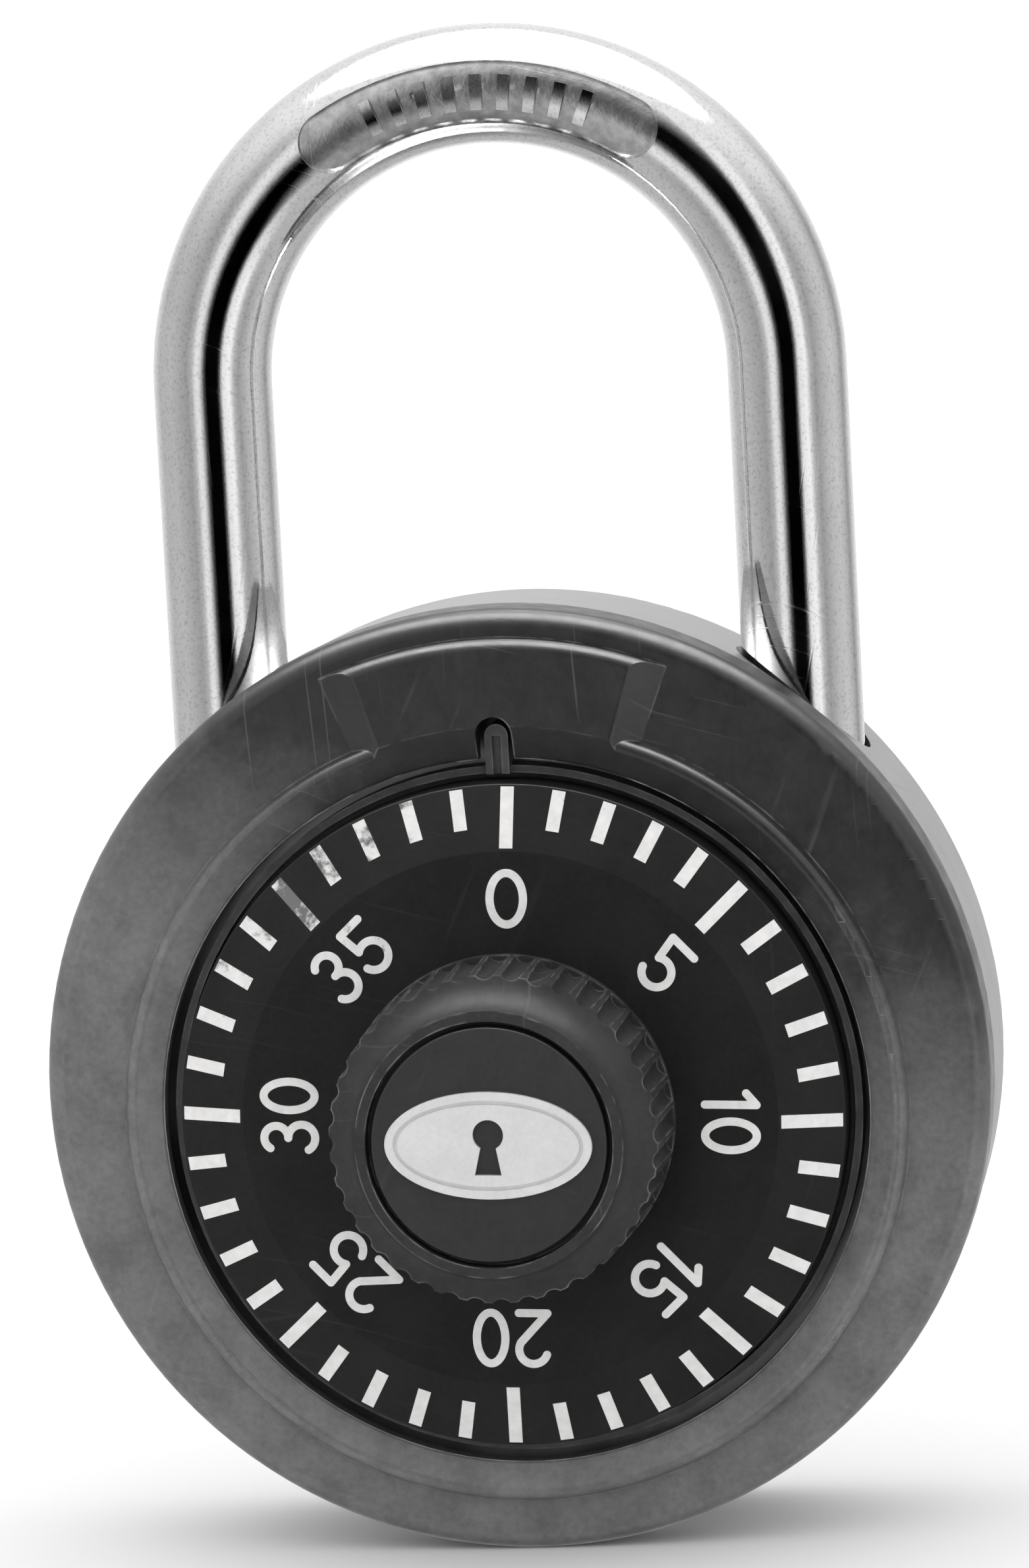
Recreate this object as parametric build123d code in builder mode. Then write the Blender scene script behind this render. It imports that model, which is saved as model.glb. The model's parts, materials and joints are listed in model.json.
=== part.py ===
from build123d import *
import os
from math import cos, radians, sin, sqrt, tan

# Round combination padlock, about 81 mm tall.
# Millimetres, +Z up towards the shackle, the dial faces -Y.
# The origin is the centre of the case's flat back face.
# "Height" below means the distance from the back face towards the dial, so height h lies at y = -h.

os.makedirs("parts", exist_ok=True)

# ---------------------------------------------------------------- driving dimensions

# Case and bezel
CASE_R = 24.9  # outer radius of the drawn steel shell
CASE_WALL = 1.0
CASE_BACK_EDGE = 2.2  # rounding of the shell's back edge
NECK_R = 24.0  # the shell is necked where the bezel slips over it
NECK_HEIGHT = 11.2
NECK_TOP = 12.3
BEZEL_R = 25.15
BEZEL_SKIRT_R = 24.1  # inside of the bezel's skirt
BEZEL_BACK = 11.5
BEZEL_INNER = 12.4  # the step that rests on the shell's neck
BEZEL_SEAT_R = 23.0  # the bezel is hollow inside this radius
COVER_INNER = 14.1  # underside of the bezel's front
BAND_HEIGHT = 15.0  # the outer band
RING_HEIGHT = 15.9  # the raised ring and the index plateau
BEZEL_EDGE = 1.0  # rounding of the band's outer edge
PLATEAU_R = 23.7
PLATEAU_BASE = 14.5
PLATEAU_EDGE = 0.65  # rounding of the plateau's outer edge
PLATEAU_END_EDGE = 0.5
PLATEAU_ROOT_R = 12.0  # the plateau is made from here outwards, then trimmed to the ring
RING_EDGE = 0.5
LIP_EDGE = 0.25
RING_R = 20.6
RING_DRAFT = 0.3  # how far the ring's outer wall spreads at its base
LIP_R = 18.8  # the opening that the dial stands in
LIP_HEIGHT = 15.0
PLATEAU_TOP_ANGLE = 17.4  # half angle of the plateau at its top edge
PLATEAU_BASE_ANGLE = 23.8
DIAL_DROP = 1.5  # the dial axis lies this far below the centre of the case

# Front plate and index ring
FRONT_PLATE_R = 22.9
PLATE_BACK = 11.3
PLATE_FRONT = 12.3
INDEX_RING_R = 18.35
INDEX_RING_WALL = 0.4
INDEX_RING_TOP = 14.1
INDEX_FLANGE = 0.4
INDEX_FLANGE_R = 6.0
TAB_WIDTH = 1.25
TAB_REACH = 20.6  # the tab's outer end, from the dial axis
TAB_TOP = 14.7
TAB_GROOVE = 0.45
TAB_GROOVE_DEPTH = 0.3
TAB_NOTCH_WIDTH = 1.9
TAB_NOTCH_REACH = 21.1

# Dial and knob
DIAL_R = 17.65
DIAL_EDGE_HEIGHT = 16.3
DIAL_FLAT_R = 14.2
DIAL_FLAT_HEIGHT = 17.3
DIAL_RIM_BACK = 13.6
DIAL_SKIN = 1.5
DIAL_RIM_INNER_R = 16.4
DIAL_RIM_EDGE = 0.12
DIAL_TURN = -2.3  # how far the dial stands past the mark, in degrees; minus is clockwise
DIAL_HUB_R = 5.0
DIAL_HUB_BACK = 13.2
TICK_COUNT = 40
TICKS_PER_NUMBER = 5
TICK_WIDTH = 0.7
TICK_OUTER_R = 17.5
SHORT_TICK_INNER_R = 15.4
LONG_TICK_INNER_R = 14.35
INLAY_DEPTH = 0.25
INLAY_PROUD = 0.03
INLAY_SPAN = 3.0  # tall enough to cross the whole bevel
NUMERAL_R = 11.7
NUMERAL_HEIGHT = 3.15
SINGLE_WIDTH = 2.2  # a digit that stands alone is wider than one of a pair
PAIR_WIDTH = 1.95
ONE_WIDTH = 1.2
PAIR_GAP = 0.3
NUMERAL_STROKE = 0.43
KNOB_R = 8.8
KNOB_FRONT_R = 8.62
KNOB_TOP = 25.1
KNOB_SHOULDER = 23.4
KNOB_FACE_R = 7.0
KNOB_SHOULDER_R = 2.0
FLUTE_COUNT = 40
FLUTE_R = 0.6
FLUTE_CIRCLE_R = 9.0
FLUTE_START = 17.7
CAP_R = 6.15
CAP_POCKET_R = 6.45
CAP_BACK = 24.1
CAP_TOP = 25.05
CAP_EDGE = 0.12
EMBLEM_HALF_LENGTH = 5.4
EMBLEM_HALF_WIDTH = 2.8
EMBLEM_BACK = 24.85
EMBLEM_TOP = 25.3
EMBLEM_BORDER = 0.45
EMBLEM_GROOVE = 0.2
EMBLEM_GROOVE_DEPTH = 0.12
KEYHOLE_R = 0.8
KEYHOLE_RISE = 0.55
KEYHOLE_WAIST = 0.3
KEYHOLE_WAIST_RISE = 0.4
KEYHOLE_FOOT = 0.7
KEYHOLE_FOOT_DROP = 1.55

# Spindle and wheel pack
SPINDLE_R = 2.0
SPINDLE_TOP = 22.0
SPINDLE_SQUARE = 2.6
SPINDLE_HEAD_R = 2.4
SPINDLE_BACK = 3.3
CAM_WASHER_BACK = 3.8
CAM_WASHER_R = 3.2
POST_R = 3.0
POST_BORE_R = 2.06
POST_BACK = 5.3
POST_FLANGE_R = 5.0
POST_FLANGE_TOP = 12.9
WASHER_R = 4.8
WHEEL_R = 8.3
WHEEL_THICKNESS = 1.0
WHEEL_BORE_R = 3.05
CAM_BACK = 4.2
MIDDLE_WHEEL_BACK = 6.4
FRONT_WHEEL_BACK = 8.6
SPACER_R = 4.0
SPACER_BORE_R = 3.02
AXIAL_GAP = 0.05
GATE_ANGLE = 20.0  # direction of the gates from +X, towards +Z
GATE_WIDTH = 3.2
GATE_FLOOR_R = 4.4
FALSE_GATE_COUNT = 12
FALSE_GATE_DEPTH = 0.5
FALSE_GATE_WIDTH = 1.6
LUG_R = 6.3
LUG_HEIGHT = 0.9
LUG_LENGTH = 1.6
LUG_WIDTH = 1.2
LUG_LEAD = 15.0  # angle between two touching lugs, with play
CAM_LUG_ANGLE = 180.0
MIDDLE_LUG_ANGLE = 240.0

# Shackle and its guide
ROD_R = 3.175
LEG_X = 15.45
SHACKLE_HEIGHT = 6.7
CROWN_Z = 36.9
HEEL_Z = -10.5
TOE_Z = 8.5
LEG_CHAMFER = 0.7
STAMP_R = 15.1  # centre line of the stamped recess, from the crown's centre
STAMP_WIDTH = 3.3
STAMP_HALF_ANGLE = 31.7
STAMP_DEPTH = 0.2
STAMP_BAR_COUNT = 9
STAMP_BAR_LENGTH = 1.9
STAMP_BAR_WIDTH = 0.6
STAMP_BAR_SPAN = 44.0
LIFT = 13.0
SHELL_HOLE_R = 3.45
GUIDE_BORE_R = 3.25
GUIDE_R = 23.7
GUIDE_BACK = 2.4
GUIDE_FRONT = 10.1
GUIDE_PAD_R = 22.8
GUIDE_INNER_X = 10.9
BRIDGE_INNER_R = 18.9
HEEL_GUIDE_Z = 5.0
TOE_GUIDE_Z = 14.3
TOE_RAIL_Z = 7.5
STOP_RING_R = 4.4
STOP_RING_THICKNESS = 1.0
STOP_GROOVE_R = 2.5
RIVET_R = 1.0
RIVET_X = 5.5
RIVET_Z = 20.3
RIVET_HEAD_R = 1.7
RIVET_HEAD = 0.4

# Toe notch and latch bolt
NOTCH_DEPTH = 1.525
NOTCH_TOP = 14.0
NOTCH_FLAT_END = 12.75
RAMP_RISE = 0.5  # sideways run of the ramp for each millimetre of leg
BOLT_GAP = 0.15
BOLT_TOP = 13.7
BOLT_TIP_END = 12.95
BOLT_TAIL = 1.8
BOLT_TAIL_Z = 11.8
BOLT_TAIL_END_X = 5.1
BOLT_HEAD_X = 12.35
BOLT_HEAD_THICKNESS = 3.0
COLLAR_X = 9.5
COLLAR_THICKNESS = 0.45
COLLAR_R = 1.75

# Latch lever
PIVOT_X = 12.1
PIVOT_Z = -9.87
PIVOT_R = 1.2
LEVER_BACK = 2.2
LEVER_FRONT = 3.4
LEVER_BORE_R = 1.25
LEVER_EYE_R = 2.7
LEVER_ARM_WIDTH = 3.4
LEVER_BOSS_R = 1.95
LEVER_BOSS_TOP = 8.6
FENCE_GAP = 0.25
FENCE_LENGTH = 2.6
FENCE_WIDTH = 1.2
FENCE_TOP = 9.7
LUG_PLATE_BOTTOM = 10.2
LUG_PLATE_TOP = 13.4
LUG_PLATE_FRONT = 8.4
INNER_LUG_X = 5.6
OUTER_LUG_X = 10.0
LUG_PLATE = 0.8
WINDOW_PLAY = 0.1
PIN_BACK = 1.2
PIN_SHOULDER_R = 2.2
PIN_SHOULDER_BACK = 8.7
CLIP_BACK = 1.6
CLIP_THICKNESS = 0.5
CLIP_INNER_R = 0.9
CLIP_OUTER_R = 2.2

# Springs
LEVER_SPRING_R = 2.45
LEVER_SPRING_WIRE = 0.25
LEVER_SPRING_PITCH = 0.8
LEVER_SPRING_BACK = 4.4
LEVER_SPRING_TURNS = 4.25
LEVER_SPRING_UPPER_LEG = 10.9
LEVER_SPRING_LOWER_LEG = 7.4
BOLT_SPRING_R = 1.55
BOLT_SPRING_WIRE = 0.14
BOLT_SPRING_PITCH = 0.6
PACK_SPRING_R = 4.3
PACK_SPRING_THICKNESS = 0.35

# ---------------------------------------------------------------- planes, axes and helpers

DIAL_Z = -DIAL_DROP
CASE_AXIS = Axis((0, 0, 0), (0, -1, 0))
DIAL_AXIS = Axis((0, 0, DIAL_Z), (0, -1, 0))
CROWN_AXIS = Axis((0, 0, CROWN_Z), (0, -1, 0))
# In these section planes a point is (radius, height).
CASE_SECTION = Plane(origin=(0, 0, 0), x_dir=(1, 0, 0), z_dir=(0, 0, -1))
DIAL_SECTION = Plane(origin=(0, 0, DIAL_Z), x_dir=(1, 0, 0), z_dir=(0, 0, -1))
CROWN_SECTION = Plane(origin=(0, 0, CROWN_Z), x_dir=(1, 0, 0), z_dir=(0, 0, -1))


def facing(height, x=0.0, z=0.0):
    """A plane that faces the front at a height, with X to the right and Z up."""
    return Plane(origin=(x, -height, z), x_dir=(1, 0, 0), z_dir=(0, -1, 0))


def dial_facing(height):
    """The same plane, centred on the dial axis."""
    return facing(height, 0, DIAL_Z)


def turned_facing(height):
    """The same plane again, turned about the dial axis as far as the dial is."""
    turn = radians(DIAL_TURN)
    return Plane(origin=(0, -height, DIAL_Z), x_dir=(cos(turn), 0, sin(turn)), z_dir=(0, -1, 0))


def ring_profile(inner, outer, low, high):
    """A rectangle in a section plane; revolved, it is a washer or a disc."""
    with Locations(((inner + outer) / 2, (low + high) / 2)):
        Rectangle(outer - inner, high - low)


def block(low, high, z_low, z_high, back, front, mode=Mode.ADD):
    """A box from x low to high, z_low to z_high and height back to front."""
    with BuildSketch(facing(back)) as outline:
        with Locations(((low + high) / 2, (z_low + z_high) / 2)):
            Rectangle(high - low, z_high - z_low)
    extrude(outline.sketch, amount=front - back, mode=mode)


# ---------------------------------------------------------------- case shell

with BuildPart() as case_shell:
    with BuildSketch(CASE_SECTION) as shell_section:
        ring_profile(0, CASE_R, 0, NECK_HEIGHT)
        fillet(shell_section.vertices().group_by(Axis.X)[-1].sort_by(Axis.Y)[0], CASE_BACK_EDGE)
        ring_profile(0, NECK_R, NECK_HEIGHT, NECK_TOP)
    revolve(axis=CASE_AXIS)
    with BuildSketch(CASE_SECTION) as chamber_section:
        ring_profile(0, CASE_R - CASE_WALL, CASE_WALL, NECK_HEIGHT - CASE_WALL)
        inside_corner = CASE_BACK_EDGE - CASE_WALL
        fillet(chamber_section.vertices().group_by(Axis.X)[-1].sort_by(Axis.Y)[0], inside_corner)
        ring_profile(0, NECK_R - CASE_WALL, NECK_HEIGHT - CASE_WALL, NECK_TOP)
    revolve(axis=CASE_AXIS, mode=Mode.SUBTRACT)
    # Two holes in the top of the side wall let the shackle's legs in.
    with BuildSketch(Plane.XY.offset(TOE_Z)):
        with Locations((-LEG_X, -SHACKLE_HEIGHT), (LEG_X, -SHACKLE_HEIGHT)):
            Circle(SHELL_HOLE_R)
    extrude(amount=CASE_R, mode=Mode.SUBTRACT)
case_shell.part.label = "case_shell"
export_step(case_shell.part, "parts/case_shell.step")

# ---------------------------------------------------------------- bezel cover

# A wedge with sloping, rounded ends, wider at its base, sets where the index plateau stands.
with BuildPart() as plateau_wedge:
    reach = 2 * BEZEL_R
    for height, half_angle in ((PLATEAU_BASE, PLATEAU_BASE_ANGLE), (RING_HEIGHT, PLATEAU_TOP_ANGLE)):
        side = reach * tan(radians(half_angle))
        with BuildSketch(dial_facing(height)):
            with BuildLine():
                Polyline((0, 0), (side, reach), (-side, reach), close=True)
            make_face()
    loft()
    with BuildSketch(dial_facing(BEZEL_BACK)):
        Circle(PLATEAU_ROOT_R)
    extrude(amount=RING_HEIGHT, mode=Mode.SUBTRACT)
    wedge_top = plateau_wedge.faces().sort_by(Axis.Y)[0]
    fillet(wedge_top.edges().filter_by(GeomType.LINE).sort_by(Axis.Z)[:2], PLATEAU_END_EDGE)

with BuildPart() as plateau:
    with BuildSketch(CASE_SECTION) as plateau_section:
        ring_profile(0, PLATEAU_R, PLATEAU_BASE, RING_HEIGHT)
        fillet(plateau_section.vertices().group_by(Axis.X)[-1].sort_by(Axis.Y)[-1], PLATEAU_EDGE)
    revolve(axis=CASE_AXIS)
    add(plateau_wedge.part, mode=Mode.INTERSECT)
    # The face between the plateau and the dial slopes with the ring.
    with BuildSketch(DIAL_SECTION) as slope_section:
        with BuildLine():
            Polyline(
                (LIP_R, BEZEL_BACK),
                (LIP_R, LIP_HEIGHT),
                (RING_R, RING_HEIGHT),
                (2 * BEZEL_R, RING_HEIGHT),
                (2 * BEZEL_R, BEZEL_BACK),
                close=True,
            )
        make_face()
        fillet(slope_section.vertices().sort_by_distance((LIP_R, LIP_HEIGHT, 0))[0], LIP_EDGE)
    revolve(axis=DIAL_AXIS, mode=Mode.INTERSECT)

with BuildPart() as bezel_cover:
    # The low band with its skirt.
    with BuildSketch(CASE_SECTION) as band_section:
        ring_profile(0, BEZEL_R, BEZEL_BACK, BAND_HEIGHT)
        fillet(band_section.vertices().group_by(Axis.X)[-1].sort_by(Axis.Y)[-1], BEZEL_EDGE)
    revolve(axis=CASE_AXIS)
    with BuildSketch(dial_facing(BEZEL_BACK)):
        Circle(LIP_R)
    extrude(amount=RING_HEIGHT, mode=Mode.SUBTRACT)
    add(plateau.part)
    # The raised ring falls gently towards the dial.
    with BuildSketch(DIAL_SECTION) as ring_section:
        with BuildLine():
            Polyline(
                (LIP_R, BEZEL_INNER),
                (LIP_R, LIP_HEIGHT),
                (RING_R, RING_HEIGHT),
                (RING_R + RING_DRAFT, BAND_HEIGHT),
                (RING_R + RING_DRAFT, BEZEL_INNER),
                close=True,
            )
        make_face()
        fillet(ring_section.vertices().sort_by_distance((RING_R, RING_HEIGHT, 0))[0], RING_EDGE)
        fillet(ring_section.vertices().sort_by_distance((LIP_R, LIP_HEIGHT, 0))[0], LIP_EDGE)
    revolve(axis=DIAL_AXIS)
    with BuildSketch(facing(BEZEL_BACK)):
        Circle(BEZEL_SKIRT_R)
    extrude(amount=BEZEL_INNER - BEZEL_BACK, mode=Mode.SUBTRACT)
    with BuildSketch(facing(BEZEL_INNER)):
        Circle(BEZEL_SEAT_R)
    extrude(amount=COVER_INNER - BEZEL_INNER, mode=Mode.SUBTRACT)
    # The arched notch where the index tab shows.
    with BuildSketch(dial_facing(BEZEL_BACK)):
        notch_mid = TAB_NOTCH_REACH - TAB_NOTCH_WIDTH / 2
        with Locations((0, notch_mid / 2 + LIP_R / 2 - 1)):
            Rectangle(TAB_NOTCH_WIDTH, notch_mid - LIP_R + 2)
        with Locations((0, notch_mid)):
            Circle(TAB_NOTCH_WIDTH / 2)
    extrude(amount=RING_HEIGHT, mode=Mode.SUBTRACT)
bezel_cover.part.label = "bezel_cover"
export_step(bezel_cover.part, "parts/bezel_cover.step")

# ---------------------------------------------------------------- front plate and index ring

with BuildPart() as front_plate:
    with BuildSketch(facing(PLATE_BACK)):
        Circle(FRONT_PLATE_R)
        with Locations((0, DIAL_Z)):
            Circle(POST_R, mode=Mode.SUBTRACT)
        with Locations((PIVOT_X, PIVOT_Z)):
            Circle(PIVOT_R, mode=Mode.SUBTRACT)
        with Locations((-RIVET_X, RIVET_Z), (RIVET_X, RIVET_Z)):
            Circle(RIVET_R, mode=Mode.SUBTRACT)
    extrude(amount=PLATE_FRONT - PLATE_BACK)
front_plate.part.label = "front_plate"
export_step(front_plate.part, "parts/front_plate.step")

with BuildPart() as index_ring:
    with BuildSketch(DIAL_SECTION):
        ring_profile(INDEX_FLANGE_R, INDEX_RING_R, PLATE_FRONT, PLATE_FRONT + INDEX_FLANGE)
        ring_profile(INDEX_RING_R - INDEX_RING_WALL, INDEX_RING_R, PLATE_FRONT, INDEX_RING_TOP)
    revolve(axis=DIAL_AXIS)
    with BuildSketch(dial_facing(PLATE_FRONT)):
        tab_root = INDEX_RING_R - INDEX_RING_WALL
        tab_mid = TAB_REACH - TAB_WIDTH / 2
        with Locations((0, (tab_root + tab_mid) / 2)):
            Rectangle(TAB_WIDTH, tab_mid - tab_root)
        with Locations((0, tab_mid)):
            Circle(TAB_WIDTH / 2)
    extrude(amount=TAB_TOP - PLATE_FRONT)
    # A fine groove along the tab is the index line.
    with BuildSketch(dial_facing(TAB_TOP - TAB_GROOVE_DEPTH)):
        with Locations((0, (tab_root + tab_mid) / 2 - TAB_WIDTH / 2)):
            Rectangle(TAB_GROOVE, tab_mid - tab_root + TAB_WIDTH)
    extrude(amount=TAB_GROOVE_DEPTH, mode=Mode.SUBTRACT)
index_ring.part.label = "index_ring"
export_step(index_ring.part, "parts/index_ring.step")

# ---------------------------------------------------------------- wheel post, spacers and washers

with BuildPart() as wheel_post:
    with BuildSketch(DIAL_SECTION):
        ring_profile(POST_BORE_R, POST_R, POST_BACK, PLATE_FRONT)
        ring_profile(POST_BORE_R, POST_FLANGE_R, PLATE_FRONT, POST_FLANGE_TOP)
    revolve(axis=DIAL_AXIS)
wheel_post.part.label = "wheel_post"
export_step(wheel_post.part, "parts/wheel_post.step")

with BuildPart() as rear_spacer:
    with BuildSketch(DIAL_SECTION):
        ring_profile(SPACER_BORE_R, SPACER_R, POST_BACK, MIDDLE_WHEEL_BACK - AXIAL_GAP)
    revolve(axis=DIAL_AXIS)
rear_spacer.part.label = "rear_spacer"
export_step(rear_spacer.part, "parts/rear_spacer.step")

with BuildPart() as front_spacer:
    middle_wheel_front = MIDDLE_WHEEL_BACK + WHEEL_THICKNESS
    with BuildSketch(DIAL_SECTION):
        ring_profile(
            SPACER_BORE_R, SPACER_R, middle_wheel_front + AXIAL_GAP, FRONT_WHEEL_BACK - AXIAL_GAP
        )
    revolve(axis=DIAL_AXIS)
front_spacer.part.label = "front_spacer"
export_step(front_spacer.part, "parts/front_spacer.step")

with BuildPart() as wheel_pack_spring:
    # A dished washer between the front wheel and the front plate.
    dish_low = FRONT_WHEEL_BACK + WHEEL_THICKNESS + AXIAL_GAP
    with BuildSketch(DIAL_SECTION):
        with BuildLine():
            Polyline(
                (SPACER_BORE_R + 2 * AXIAL_GAP, PLATE_BACK - PACK_SPRING_THICKNESS),
                (PACK_SPRING_R, dish_low),
                (PACK_SPRING_R, dish_low + PACK_SPRING_THICKNESS),
                (SPACER_BORE_R + 2 * AXIAL_GAP, PLATE_BACK),
                close=True,
            )
        make_face()
    revolve(axis=DIAL_AXIS)
wheel_pack_spring.part.label = "wheel_pack_spring"
export_step(wheel_pack_spring.part, "parts/wheel_pack_spring.step")

with BuildPart() as dial_friction_washer:
    with BuildSketch(DIAL_SECTION):
        ring_profile(
            POST_BORE_R, WASHER_R, POST_FLANGE_TOP, DIAL_HUB_BACK - AXIAL_GAP
        )
    revolve(axis=DIAL_AXIS)
dial_friction_washer.part.label = "dial_friction_washer"
export_step(dial_friction_washer.part, "parts/dial_friction_washer.step")

# ---------------------------------------------------------------- spindle and wheels

with BuildPart() as dial_spindle:
    # Round through the post, square where the drive cam sits, with a riveted head behind it.
    with BuildSketch(dial_facing(POST_BACK)):
        Circle(SPINDLE_R)
    extrude(amount=SPINDLE_TOP - POST_BACK)
    with BuildSketch(dial_facing(CAM_WASHER_BACK)):
        Rectangle(SPINDLE_SQUARE, SPINDLE_SQUARE)
    extrude(amount=POST_BACK - CAM_WASHER_BACK)
    with BuildSketch(dial_facing(SPINDLE_BACK)):
        Circle(SPINDLE_HEAD_R)
    extrude(amount=CAM_WASHER_BACK - SPINDLE_BACK)
dial_spindle.part.label = "dial_spindle"
export_step(dial_spindle.part, "parts/dial_spindle.step")

with BuildPart() as cam_washer:
    with BuildSketch(dial_facing(CAM_WASHER_BACK)):
        Circle(CAM_WASHER_R)
        Rectangle(SPINDLE_SQUARE, SPINDLE_SQUARE, mode=Mode.SUBTRACT)
    extrude(amount=CAM_BACK - CAM_WASHER_BACK)
cam_washer.part.label = "cam_washer"
export_step(cam_washer.part, "parts/cam_washer.step")


def gate_slot(angle, width, floor_r):
    """Cut a slot into a wheel's rim, pointing at an angle, down to a floor radius."""
    with PolarLocations((floor_r + WHEEL_R) / 2 + 0.5, 1, start_angle=angle):
        Rectangle(WHEEL_R - floor_r + 1, width, mode=Mode.SUBTRACT)


def wheel_lug(angle, back, front):
    """A pressed-out lug on a wheel's face, which pushes the next wheel's lug."""
    with BuildSketch(dial_facing(back)) as outline:
        with PolarLocations(LUG_R, 1, start_angle=angle):
            Rectangle(LUG_LENGTH, LUG_WIDTH)
    extrude(outline.sketch, amount=front - back)


with BuildPart() as drive_cam:
    with BuildSketch(dial_facing(CAM_BACK)):
        Circle(WHEEL_R)
        Rectangle(SPINDLE_SQUARE, SPINDLE_SQUARE, mode=Mode.SUBTRACT)
        gate_slot(GATE_ANGLE, GATE_WIDTH, GATE_FLOOR_R)
        for step in range(1, FALSE_GATE_COUNT):
            false_gate_angle = GATE_ANGLE + step * 360 / FALSE_GATE_COUNT
            gate_slot(false_gate_angle, FALSE_GATE_WIDTH, WHEEL_R - FALSE_GATE_DEPTH)
    extrude(amount=WHEEL_THICKNESS)
    cam_front = CAM_BACK + WHEEL_THICKNESS
    wheel_lug(CAM_LUG_ANGLE, cam_front, cam_front + LUG_HEIGHT)
drive_cam.part.label = "drive_cam"
export_step(drive_cam.part, "parts/drive_cam.step")

with BuildPart() as middle_wheel:
    with BuildSketch(dial_facing(MIDDLE_WHEEL_BACK)):
        Circle(WHEEL_R)
        Circle(WHEEL_BORE_R, mode=Mode.SUBTRACT)
        gate_slot(GATE_ANGLE, GATE_WIDTH, GATE_FLOOR_R)
    extrude(amount=WHEEL_THICKNESS)
    wheel_lug(CAM_LUG_ANGLE - LUG_LEAD, MIDDLE_WHEEL_BACK - LUG_HEIGHT, MIDDLE_WHEEL_BACK)
    wheel_lug(MIDDLE_LUG_ANGLE, middle_wheel_front, middle_wheel_front + LUG_HEIGHT)
middle_wheel.part.label = "middle_wheel"
export_step(middle_wheel.part, "parts/middle_wheel.step")

with BuildPart() as front_wheel:
    with BuildSketch(dial_facing(FRONT_WHEEL_BACK)):
        Circle(WHEEL_R)
        Circle(WHEEL_BORE_R, mode=Mode.SUBTRACT)
        gate_slot(GATE_ANGLE, GATE_WIDTH, GATE_FLOOR_R)
    extrude(amount=WHEEL_THICKNESS)
    wheel_lug(MIDDLE_LUG_ANGLE - LUG_LEAD, FRONT_WHEEL_BACK - LUG_HEIGHT, FRONT_WHEEL_BACK)
front_wheel.part.label = "front_wheel"
export_step(front_wheel.part, "parts/front_wheel.step")

# ---------------------------------------------------------------- dial

BEVEL_FALL = (DIAL_FLAT_HEIGHT - DIAL_EDGE_HEIGHT) / (DIAL_R - DIAL_FLAT_R)


def bevel_profile(inner, outer, below, above):
    """A band that follows the dial's bevel, from below its surface to above it."""
    with BuildLine() as outline:
        inner_height = DIAL_FLAT_HEIGHT - (inner - DIAL_FLAT_R) * BEVEL_FALL
        outer_height = DIAL_FLAT_HEIGHT - (outer - DIAL_FLAT_R) * BEVEL_FALL
        Polyline(
            (inner, inner_height - below),
            (outer, outer_height - below),
            (outer, outer_height + above),
            (inner, inner_height + above),
            close=True,
        )
    make_face(outline.edges())


def tick_sectors(inner, outer, steps, width):
    """Radial bars at the given division numbers, for trimming the bevel band."""
    for step in steps:
        angle = 90 + DIAL_TURN - step * 360 / TICK_COUNT
        with PolarLocations((inner + outer) / 2, 1, start_angle=angle):
            Rectangle(outer - inner, width)


LONG_STEPS = range(0, TICK_COUNT, TICKS_PER_NUMBER)
SHORT_STEPS = [step for step in range(TICK_COUNT) if step % TICKS_PER_NUMBER]

with BuildPart() as dial_ticks:
    with BuildSketch(dial_facing(DIAL_FLAT_HEIGHT - INLAY_SPAN / 2)):
        tick_sectors(SHORT_TICK_INNER_R, TICK_OUTER_R, SHORT_STEPS, TICK_WIDTH)
        tick_sectors(LONG_TICK_INNER_R, TICK_OUTER_R, LONG_STEPS, TICK_WIDTH)
    extrude(amount=INLAY_SPAN)
    with BuildSketch(DIAL_SECTION):
        bevel_profile(DIAL_FLAT_R, DIAL_R, INLAY_DEPTH, INLAY_PROUD)
    revolve(axis=DIAL_AXIS, mode=Mode.INTERSECT)
dial_ticks.part.label = "dial_ticks"
export_step(dial_ticks.part, "parts/dial_ticks.step")


def pen_strokes(edges):
    """Thick strokes with round ends along each edge of a drawn line."""
    for edge in edges:
        trace(edge, line_width=NUMERAL_STROKE)
    with Locations(*[edge @ end for edge in edges for end in (0, 1)]):
        Circle(NUMERAL_STROKE / 2)


def draw_digit(digit, width):
    """Draw one digit inside a box of its width by NUMERAL_HEIGHT, centred on the origin."""
    w = width / 2 - NUMERAL_STROKE / 2
    h = NUMERAL_HEIGHT / 2 - NUMERAL_STROKE / 2
    with BuildLine() as pen:
        if digit == "0":
            EllipticalCenterArc((0, 0), w, h, start_angle=0, arc_size=180)
            EllipticalCenterArc((0, 0), w, h, start_angle=180, arc_size=180)
        elif digit == "1":
            Polyline((-w, h * 0.6), (w * 0.6, h), (w * 0.6, -h))
        elif digit == "2":
            CenterArc((0, h - w), w, 160, -190)
            Polyline((w * cos(radians(-30)), h - w + w * sin(radians(-30))), (-w, -h), (w, -h))
        elif digit == "3":
            upper = h * 0.47
            lower = h * 0.53
            CenterArc((0, h - upper), upper, 150, -240)
            CenterArc((0, lower - h), lower, 90, -240)
        elif digit == "5":
            bowl = h * 0.58
            join = 125
            corner = (bowl * cos(radians(join)), bowl - h + bowl * sin(radians(join)))
            Polyline((w, h), (-w * 0.75, h), corner)
            CenterArc((0, bowl - h), bowl, join, -285)
    pen_strokes(pen.edges())


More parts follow.
